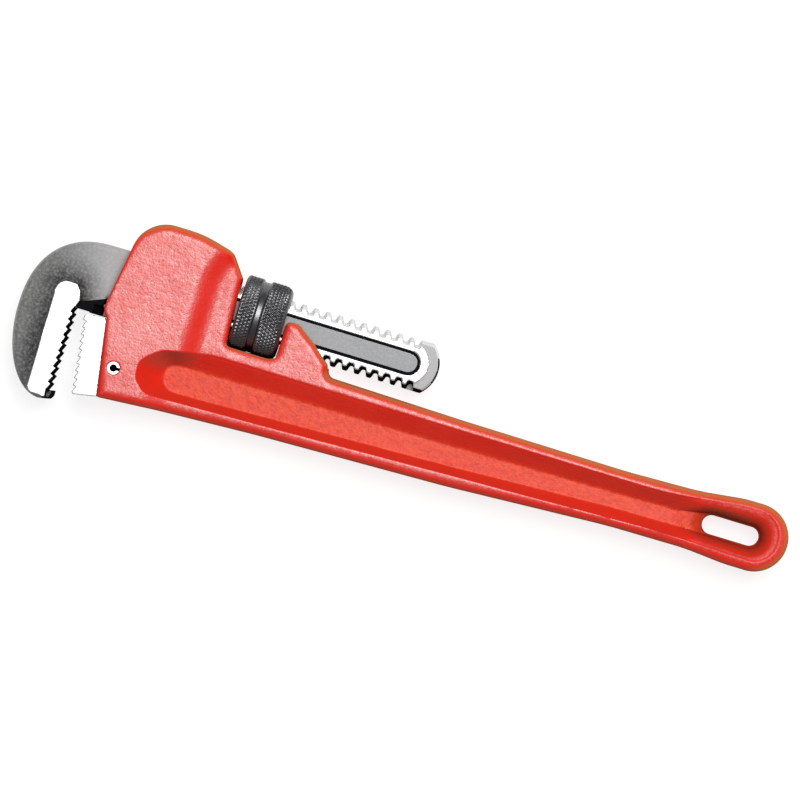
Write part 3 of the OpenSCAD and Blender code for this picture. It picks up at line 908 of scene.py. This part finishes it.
def add_heel(material):
    points, quads = net_of(heel_field(), HEEL_LOW, HEEL_HIGH, 0.3)
    piece = mesh_piece("heel_jaw_block", points, quads, 35)
    finish_piece(piece, "handle_assembly", "heel_jaw", material)


# ---------------------------------------------------------------- adjusting nut

NUT_X = NUT_LOW[0]
NUT_W = NUT_HIGH[0] - NUT_LOW[0]
NUT_R = (NUT_HIGH[1] - NUT_LOW[1]) / 2
NUT_THREAD_R = 9.05
NUT_GROOVE_R = 10.6
THREAD_GAP = 0.3
KNURL_DEPTH = 0.6
KNURL_LINES = 62
KNURL_SLANT = 0.36
# The nut's front edge is rounded a little, and its rear edge more
FRONT_ROUND = 1.2
REAR_ROUND = (3.8, 3.4)


def nut_profile():
    """Outer section as (distance along the axis, radius), from the front face to the rear one."""
    front = FRONT_ROUND
    rear_w, rear_h = REAR_ROUND
    quarter_turn = np.radians(np.linspace(90, 0, 9))
    line = [(front * (1 - math.cos(a)), NUT_R - front * (1 - math.sin(a)))
            for a in quarter_turn[::-1]]
    band = [(6.2, NUT_R), (6.8, NUT_R - 0.25), (7.1, NUT_R - 0.75), (7.5, NUT_R - 1.0),
            (9.3, NUT_R - 1.0), (9.7, NUT_R - 0.75), (10.0, NUT_R - 0.25), (10.6, NUT_R)]
    tail = [(NUT_W - rear_w * (1 - math.cos(a)), NUT_R - rear_h * (1 - math.sin(a)))
            for a in quarter_turn]
    return np.array(line + band + tail)


def knurl(along, angle, first_share, second_share):
    """Diamond knurl: two families of slanting V grooves, 0 at a crest and 1 in a groove."""
    around = KNURL_LINES * angle / (2 * math.pi)
    first = np.abs((around + KNURL_SLANT * along) % 1 - 0.5) * 2
    second = np.abs((around - KNURL_SLANT * along) % 1 - 0.5) * 2
    return np.maximum(first_share * first ** 1.4, second_share * second ** 1.4)


def add_nut(material):
    """The nut as rings of points: along its knurled outside, then back through its bore."""
    profile = nut_profile()
    length = np.concatenate([[0], np.cumsum(np.hypot(*np.diff(profile, axis=0).T))])
    fine = np.linspace(0, length[-1], 110)
    along = np.interp(fine, length, profile[:, 0])
    radius = np.interp(fine, length, profile[:, 1])
    steps = 540
    angle = np.arange(steps) * 2 * math.pi / steps
    grid_x, grid_a = np.meshgrid(along, angle, indexing="ij")
    left = smooth(0.6, 1.6, grid_x) * (1 - smooth(6.0, 6.6, grid_x))
    right = smooth(10.2, 10.8, grid_x) * (1 - smooth(NUT_W - 1.4, NUT_W - 0.4, grid_x))
    cut = left * knurl(grid_x, grid_a, 1.0, 0.45) + right * knurl(grid_x, grid_a, 0.9, 1.0)
    outer = np.stack([NUT_X + grid_x, radius[:, None] - KNURL_DEPTH * cut, grid_a], 2)
    # bore: the thread's ridge stands in, between grooves that clear the shank's crests
    inner_x = np.linspace(0, NUT_W, 90)[::-1]
    grid_x, grid_a = np.meshgrid(inner_x, angle, indexing="ij")
    turn = (NUT_X + grid_x - FIRST_GROOVE_X) / PITCH - grid_a / (2 * math.pi)
    off = np.abs(turn - np.round(turn)) * PITCH
    ridge_low = GROOVE_HALF + (NUT_THREAD_R - ROOT_R) * GROOVE_FLANK - THREAD_GAP
    ridge_high = GROOVE_HALF + (NUT_GROOVE_R - ROOT_R) * GROOVE_FLANK - THREAD_GAP
    rise = np.clip((off - ridge_low) / (ridge_high - ridge_low), 0, 1)
    # the ridge runs out before the rear face, where the shank's last groove ends
    rise = np.maximum(rise, smooth(NUT_W - 3.3, NUT_W - 2.5, grid_x))
    bore = NUT_THREAD_R + (NUT_GROOVE_R - NUT_THREAD_R) * rise
    inner = np.stack([NUT_X + grid_x, bore, grid_a], 2)
    rings = np.concatenate([outer, inner])
    x, r, a = rings[..., 0], rings[..., 1], rings[..., 2]
    points = np.stack([x, SHANK_Y + r * np.cos(a), r * np.sin(a)], 2).reshape(-1, 3)
    ring, spot = np.meshgrid(np.arange(len(rings)), np.arange(steps), indexing="ij")
    here = ring * steps
    after = (ring + 1) % len(rings) * steps
    beside = (spot + 1) % steps
    quads = np.stack([here + spot, here + beside, after + beside, after + spot], 2).reshape(-1, 4)
    piece = mesh_piece("knurled_nut", points, quads, 50)
    finish_piece(piece, "nut", "adjusting_nut", material)


# ---------------------------------------------------------------- small parts on CAD meshes


def dress(node, material):
    """A CAD node whose shape is right keeps it and gets its material."""
    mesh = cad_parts[node].data
    mesh.materials.clear()
    mesh.materials.append(material)


# ---------------------------------------------------------------- camera, light and floor

CAMERA_TURN = math.radians(16.85)
# camera height in metres, its aim and the width that it sees in workshop millimetres
CAMERA_HEIGHT = 1.8
CAMERA_AIM = (112.6, 20.85)
SENSOR = 36.0
VIEW_WIDTH = 320.0
FLOOR_HALF = 3.0
FLOOR_GREY = (0.25, 0.25, 0.25)
FLOOR_GLOW = 0.80
SKY_STRENGTH = 0.22
KEY_PLACE = (0.35, 0.55, 2.3)
KEY_SIZE = 1.3
KEY_POWER = 56


def add_camera():
    """Camera straight above, turned so that the wrench slants down to the right."""
    data = bpy.data.cameras.new("camera")
    data.sensor_width = SENSOR
    data.lens = SENSOR * CAMERA_HEIGHT / (VIEW_WIDTH * MM)
    data.clip_end = 20
    camera = bpy.data.objects.new("camera", data)
    bpy.context.scene.collection.objects.link(camera)
    camera.location = (
        PIN[0] + CAMERA_AIM[0] * MM, PIN[1] + CAMERA_AIM[1] * MM, PIN[2] + CAMERA_HEIGHT)
    camera.rotation_euler = (0, 0, CAMERA_TURN)
    bpy.context.scene.camera = camera


def add_floor():
    """A pale table that glows a little, so that shadows on it stay faint."""
    half = FLOOR_HALF
    mesh = bpy.data.meshes.new("floor")
    mesh.from_pydata([(-half, -half, 0), (half, -half, 0), (half, half, 0), (-half, half, 0)],
                     [], [(0, 1, 2, 3)])
    floor = bpy.data.objects.new("floor", mesh)
    bpy.context.scene.collection.objects.link(floor)
    m = Nodes("floor")
    mesh.materials.append(m.set(colour=FLOOR_GREY, rough=0.9, specular=0.0))
    m.shader.inputs["Emission Color"].default_value = (1, 1, 1, 1)
    m.shader.inputs["Emission Strength"].default_value = FLOOR_GLOW


def add_area(name, place, size, power):
    """A square softbox aimed at the wrench, placed in metres along the main view's right, its up
    and the direction towards the camera."""
    data = bpy.data.lights.new(name, "AREA")
    data.shape = "SQUARE"
    data.size = size
    data.energy = power
    light = bpy.data.objects.new(name, data)
    bpy.context.scene.collection.objects.link(light)
    c, s = math.cos(CAMERA_TURN), math.sin(CAMERA_TURN)
    right, up, out = place
    spot = np.array([right * c - up * s, right * s + up * c, out])
    light.location = spot
    direction = -spot / np.linalg.norm(spot)
    light.rotation_euler = (
        math.acos(-direction[2]), 0, math.atan2(direction[1], direction[0]) - math.pi / 2)


def add_light():
    """White studio: a weak even sky and one large key light."""
    world = bpy.data.worlds.new("studio")
    bpy.context.scene.world = world
    world.use_nodes = True
    background = world.node_tree.nodes["Background"]
    background.inputs["Color"].default_value = (1, 1, 1, 1)
    background.inputs["Strength"].default_value = SKY_STRENGTH
    add_area("key", KEY_PLACE, KEY_SIZE, KEY_POWER)
    bpy.context.scene.view_settings.view_transform = "Standard"


# ---------------------------------------------------------------- build

add_camera()
add_floor()
add_light()
add_handle(paint())
add_hook(forged())
add_heel(ground_steel())
add_nut(black_oxide())
dress("heel_jaw_pin", pin_steel())
dress("coil_spring", spring_steel("spring_wire", (0.30, 0.30, 0.31), 0.4))
dress("flat_spring", spring_steel("spring_leaf", (0.10, 0.10, 0.11), 0.4))
dress("spring_rivet", spring_steel("rivet_steel", (0.50, 0.50, 0.50), 0.4))
